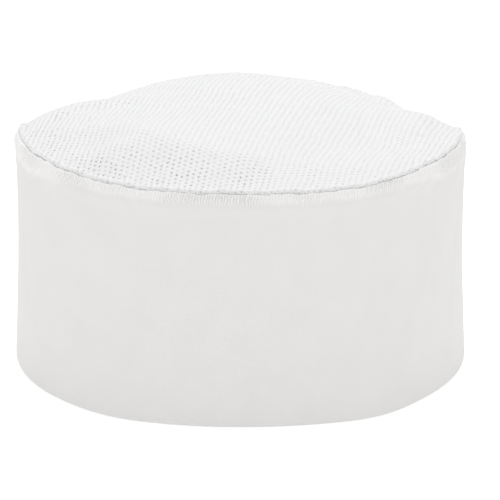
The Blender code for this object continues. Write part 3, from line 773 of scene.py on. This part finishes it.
def sweatband():
    """Terry strip inside the hem, and its two lines of stitching."""
    notch_side = 31.0 * MM
    start, stop = back_angle(-notch_side), back_angle(notch_side)
    angle = np.linspace(start, stop + math.tau, 560)[:, None]
    steps = len(angle)
    outer, inner, soft = 3.8 * MM, 5.4 * MM, 0.3 * MM
    rows = {"lower": 3.3 * MM, "upper": 31.5 * MM}
    heights = np.linspace(1.4, 33.4, 33) * MM
    dents = 0.45 * MM * sum(np.exp(-((heights - h) / (1.1 * MM)) ** 2) for h in rows.values())
    tufts = np.random.default_rng(8).normal(0.0, 0.12 * MM, (steps, len(heights)))
    face = inner - dents + np.clip(tufts, -0.3 * MM, 0.3 * MM)
    edge = np.full((steps, 1), outer + 0.8 * MM)
    back_heights = np.linspace(33.2, 1.6, 6) * MM
    inset = np.concatenate([face, edge, np.full((steps, 6), outer), edge], 1)
    up = np.concatenate([heights, [34.0 * MM], back_heights, [0.8 * MM]])
    strip = skin("terry_sweatband", wall(angle, up, inset - soft), TERRY)
    settle(strip, "cap", "terry", "sweatband")
    for name, h in rows.items():
        line = wall(angle[:, 0], h, inner - 0.35 * MM)
        out = -outwards(angle[:, 0])
        row = stitches(f"sweatband_{name}_stitches", line, out, 3.0 * MM, 0.18 * MM, THREAD)
        settle(row, "cap", "thread", f"sweatband_{name}_thread")


# The strap.

STRAP_LOW, STRAP_HIGH = 4.0 * MM, 26.0 * MM
ROOT_X, HINGE_X, END_X = 48.0 * MM, 30.0 * MM, -58.0 * MM
STRAP_INSET, STRAP_THICKNESS = -2.7 * MM, 2.0 * MM
END_CORNER = 6.0 * MM
HINGE_INSET = -4.9 * MM
BLEND_START_X, BLEND_END_X = 34.0 * MM, 27.5 * MM


def strap_band():
    """Strap of folded twill from its sewn root to its rounded free end, open along its stitched top."""
    round_end = END_CORNER * (1.0 - np.sin(np.linspace(0.1, 1.5, 14)))
    x = np.concatenate([np.linspace(ROOT_X, END_X + END_CORNER, 170), END_X + round_end])[:, None]
    sewn_inset = -0.3 * MM
    inset = STRAP_INSET + (sewn_inset - STRAP_INSET) * smooth((x - HINGE_X) / (7.0 * MM))
    from_end = np.clip((x - END_X) / END_CORNER, 0.0, 1.0)
    middle = (STRAP_HIGH + STRAP_LOW) / 2.0
    half = (STRAP_HIGH - STRAP_LOW) / 2.0 - END_CORNER * (1.0 - np.sqrt(1.0 - (1.0 - from_end) ** 2))

    def faces(across):
        """Heights at shares of the half width, and the insets of the outer and inner face there."""
        up = middle + half * across
        inside = np.minimum(half * (1.0 - np.abs(across)), np.maximum(x - END_X, 0.0))
        edge = np.clip(inside / (1.1 * MM), 0.0, 1.0)
        groove = 0.16 * MM * np.exp(-((inside - 2.0 * MM) / (0.45 * MM)) ** 2)
        thinner = 0.43 * MM * (1.0 - np.sqrt(1.0 - (1.0 - edge) ** 2)) + groove
        waves = 0.12 * MM * ripple(x / (8.0 * MM) + up / (15.0 * MM), 31)
        return up, inset - STRAP_THICKNESS + thinner + waves, inset - thinner

    cloth = 0.5 * MM
    up, outer, inner = faces(np.linspace(-1.0, 1.0, 37))
    up_in, outer_in, inner_in = faces(np.linspace(-0.94, 1.0, 19))
    outer_in = outer_in + cloth
    inner_in = np.maximum(inner_in - cloth, outer_in + 0.06 * MM)
    height = np.concatenate([up[:, ::-1], up, up_in[:, ::-1], up_in], 1)
    place = np.concatenate([outer[:, ::-1], inner, inner_in[:, ::-1], outer_in], 1)
    strap = skin("strap_band", wall(back_angle(x), height, place), STRAP, sharp=70.0)
    start, end = (wall(back_angle(v), middle, HINGE_INSET) for v in (BLEND_START_X, BLEND_END_X))
    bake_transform(strap)
    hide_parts("closure_strap_root", "closure_strap")


def back_patch(name, xs, heights, inset, thickness, material, steps=40):
    """A flat patch on the back of the wall, with softened edges."""
    angle = back_angle(np.linspace(*xs, steps))[:, None]
    z = np.linspace(*heights, 9)
    soft = np.zeros(len(z))
    soft[[0, -1]] = 0.12 * MM
    height = np.concatenate([z, z[::-1]])
    place = np.concatenate([inset - thickness + soft, inset - soft[::-1]])
    return skin(name, wall(angle, height, place), material, sharp=60.0)


def frame_line(xs, heights, margin, inset):
    """Rectangle inside a patch's edges, as a route with its outward directions."""
    (right, left), (low, high) = xs, heights
    right, left, low, high = right - margin, left + margin, low + margin, high - margin
    long, short = 60, 14
    x = np.concatenate([np.linspace(right, left, long), np.full(short, left),
                        np.linspace(left, right, long), np.full(short, right)])
    z = np.concatenate([np.full(long, low), np.linspace(low, high, short + 2)[1:-1],
                        np.full(long, high), np.linspace(high, low, short + 2)[1:-1]])
    angle = back_angle(x)
    return wall(angle, z, inset), outwards(angle)


def joined_tubes(name, base, lines, radius, material, sides):
    """A tape with many small tubes on it, as one piece."""
    pile = tubes(name + "_pile", lines, radius, material, sides)
    with bpy.context.temp_override(active_object=base, selected_editable_objects=[base, pile]):
        bpy.ops.object.join()


def scatter(made, xs, heights, margin, pitch, jitter):
    """Places (x, z) inside a patch's edges, in staggered rows with a little disorder."""
    along = np.arange(xs[1] + margin, xs[0] - margin, pitch)
    up = np.arange(heights[0] + margin, heights[1] - margin, pitch * 0.87)
    x, z = np.meshgrid(along, up, indexing="ij")
    x = x + 0.5 * pitch * (np.arange(len(up)) % 2)
    spread = jitter * pitch
    x = x.ravel() + made.uniform(-spread, spread, x.size)
    z = z.ravel() + made.uniform(-spread, spread, z.size)
    return x[:, None], z[:, None]


def loop_pad():
    """Tape of brushed loops that the strap closes on, and its stitching."""
    xs, heights = (-30.0 * MM, -67.0 * MM), (5.0 * MM, 25.0 * MM)
    base = back_patch("loop_pad", xs, heights, -0.3 * MM, 0.42 * MM, LOOPS)
    made = np.random.default_rng(17)
    x, z = scatter(made, xs, heights, 0.6 * MM, 0.95 * MM, 0.3)
    turn = made.uniform(0.0, math.pi, x.shape)
    size = made.uniform(0.75, 1.1, x.shape)
    t = np.linspace(0.0, math.pi, 6)
    run = 0.42 * MM * size * np.cos(t)
    lift = 0.40 * MM * size * np.sin(t)
    place_x = x + run * np.cos(turn)
    lines = wall(back_angle(place_x), z + run * np.sin(turn), -0.72 * MM - lift)
    joined_tubes("loop_pad", base, lines, 0.07 * MM, LOOPS, 4)
    settle(base, "cap", "loop_tape", "loop_tape")
    line, out = frame_line(xs, heights, 1.3 * MM, -1.0 * MM)
    row = stitches("loop_pad_stitches", line, out, 2.4 * MM, 0.19 * MM, THREAD, closed=True)
    settle(row, "cap", "thread", "loop_tape_thread")


def hook_pad():
    """Tape of small nylon hooks inside the strap's end."""
    xs, heights = (-34.0 * MM, -56.0 * MM), (8.0 * MM, 22.0 * MM)
    face = -2.0 * MM
    base = back_patch("hook_pad", xs, heights, face, 0.4 * MM, HOOKS, 30)
    x, z = scatter(np.random.default_rng(19), xs, heights, 0.8 * MM, 1.3 * MM, 0.06)
    reach = np.array([0.0, 0.02, 0.12, 0.32, 0.42]) * MM
    lift = np.array([0.0, 0.26, 0.42, 0.42, 0.28]) * MM
    lines = wall(back_angle(x), z + reach, face + lift)
    joined_tubes("hook_pad", base, lines, 0.08 * MM, HOOKS, 5)
    settle(base, "strap", "hook_tape", "strap_hook_tape")


def strap_details():
    """The strap's stiffener, its edge stitching and the bar tack that holds its root."""
    core_xs = (HINGE_X - 2.6 * MM, END_X + 1.5 * MM)
    core = back_patch("strap_core", core_xs, (5.0 * MM, 25.0 * MM), -3.5 * MM, 0.4 * MM, INNER)
    settle(core, "strap", "interfacing", "closure_strap_interfacing")
    xs, heights = (HINGE_X - 1.0 * MM, END_X), (STRAP_LOW, STRAP_HIGH)
    line, out = frame_line(xs, heights, 2.0 * MM, STRAP_INSET - STRAP_THICKNESS + 0.02 * MM)
    row = stitches("strap_stitches", line, out, 2.6 * MM, 0.19 * MM, THREAD, closed=True)
    settle(row, "strap", "thread", "strap_edge_thread")
    z = np.arange(6.0, 24.01, 0.42) * MM
    start, after = z[:-1, None], z[1:, None]
    flip = np.where(np.arange(len(start)) % 2 == 0, 1.0, -1.0)[:, None]
    share = np.linspace(-1.0, 1.0, 5)
    x = ROOT_X - 3.0 * MM + 1.1 * MM * flip * share
    lift = np.array([-0.35, 0.02, 0.1, 0.02, -0.35]) * MM
    lines = wall(back_angle(x), start + (after - start) * (share + 1.0) / 2.0, -2.4 * MM - lift)
    tack = tubes("strap_tack", lines, 0.2 * MM, THREAD, 5)
    settle(tack, "cap", "thread", "strap_bar_tack")


# The label.

def satin_label():
    """Blank satin label that hangs inside the back, with a turned lower edge."""
    low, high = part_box("care_label")
    middle = (low.y + high.y) / 2.0
    half, length = (high.x - low.x) / 2.0, high.z - low.z
    x = np.linspace(-half, half, 31)
    drop = np.concatenate([np.linspace(0.0, length - 0.4 * MM, 30), [length]])
    across, down = np.meshgrid(x, drop, indexing="ij")
    share = down / length
    cup = -1.0 * MM * share ** 2 * (1.0 + 0.5 * np.cos(math.pi * across / half))
    curl = (cup + 0.25 * MM * np.sin(9.0 * share)) * share
    thick = 0.13 * MM + 0.13 * MM * (down > length - 4.0 * MM)
    thick[:, -1] = 0.02 * MM
    inner, outer = (np.stack([across, middle + curl + side * thick, high.z - down], -1)
                    for side in (-1.0, 1.0))
    label = skin("satin_label", np.concatenate([inner, outer[:, ::-1]], 1), SATIN, sharp=60.0)
    settle(label, "label", "label_satin", "care_label")
    low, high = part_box("care_label_thread")
    line = np.tile((np.array(low) + np.array(high)) / 2.0, (40, 1))
    line[:, 0] = np.linspace(low.x, high.x, 40)
    out = np.zeros_like(line)
    out[:, 1] = -1.0
    row = stitches("label_stitches", line, out, 2.0 * MM, 0.18 * MM, THREAD, sink=0.2 * MM)
    settle(row, "cap", "thread", "care_label_thread")


# The stage.

WHITE = (1.0, 1.0, 1.0, 1.0)
FLOOR_SIZE = 30.0
FLOOR_GLOW = 0.31
WORLD_STRENGTH = 0.81
LAMP_SIZE, LAMP_ENERGY = (0.6, 1.7), 11.5
LAMP_PLACE, LAMP_TARGET = Vector((0.0, 0.42, 1.6)), Vector((0.0, 0.0, 0.05))
CAMERA_LENS, CAMERA_SENSOR = 620.0, 36.0
CAMERA_RISE, CAMERA_AWAY = math.radians(18.2), 3.6
CAMERA_TARGET = Vector((0.004, CENTRE_Y, 0.0439))


def add_floor():
    """Pale floor that gives off a little light, so that it reads white."""
    bpy.ops.mesh.primitive_plane_add(size=FLOOR_SIZE, location=(0.0, 0.0, 0.0))
    floor = bpy.context.object
    floor.name = "floor"
    material, _, _, shader = principled("floor", (0.88, 0.88, 0.88), 0.9, specular=0.0)
    shader.inputs["Emission Color"].default_value = WHITE
    shader.inputs["Emission Strength"].default_value = FLOOR_GLOW
    floor.data.materials.append(material)


def add_light():
    """White surroundings, and a soft lamp above and behind."""
    scene = bpy.context.scene
    world = bpy.data.worlds.new("studio")
    world.use_nodes = True
    background = world.node_tree.nodes["Background"]
    background.inputs["Color"].default_value = WHITE
    background.inputs["Strength"].default_value = WORLD_STRENGTH
    scene.world = world
    scene.view_settings.view_transform = "Standard"
    light = bpy.data.lights.new("overhead", "AREA")
    light.shape = "ELLIPSE"
    light.size, light.size_y = LAMP_SIZE
    light.energy = LAMP_ENERGY
    lamp = bpy.data.objects.new("overhead", light)
    lamp.location = LAMP_PLACE
    lamp.rotation_euler = (LAMP_TARGET - LAMP_PLACE).to_track_quat("-Z", "Y").to_euler()
    scene.collection.objects.link(lamp)


def add_camera():
    """Long-lens camera in front, looking down at the cap."""
    camera = bpy.data.cameras.new("camera")
    camera.lens = CAMERA_LENS
    camera.sensor_width = CAMERA_SENSOR
    camera.clip_end = 100.0
    eye = bpy.data.objects.new("camera", camera)
    back = Vector((0.0, -math.cos(CAMERA_RISE), math.sin(CAMERA_RISE)))
    eye.location = CAMERA_TARGET + back * CAMERA_AWAY
    eye.rotation_euler = (-back).to_track_quat("-Z", "Y").to_euler()
    bpy.context.scene.collection.objects.link(eye)
    bpy.context.scene.camera = eye


def build():
    """Make every piece and the stage."""
    band()
    notch_tape()
    crown_net()
    crown_rim()
    crown_seam()
    sweatband()
    strap_band()
    loop_pad()
    hook_pad()
    strap_details()
    satin_label()
    add_floor()
    add_light()
    add_camera()


build()
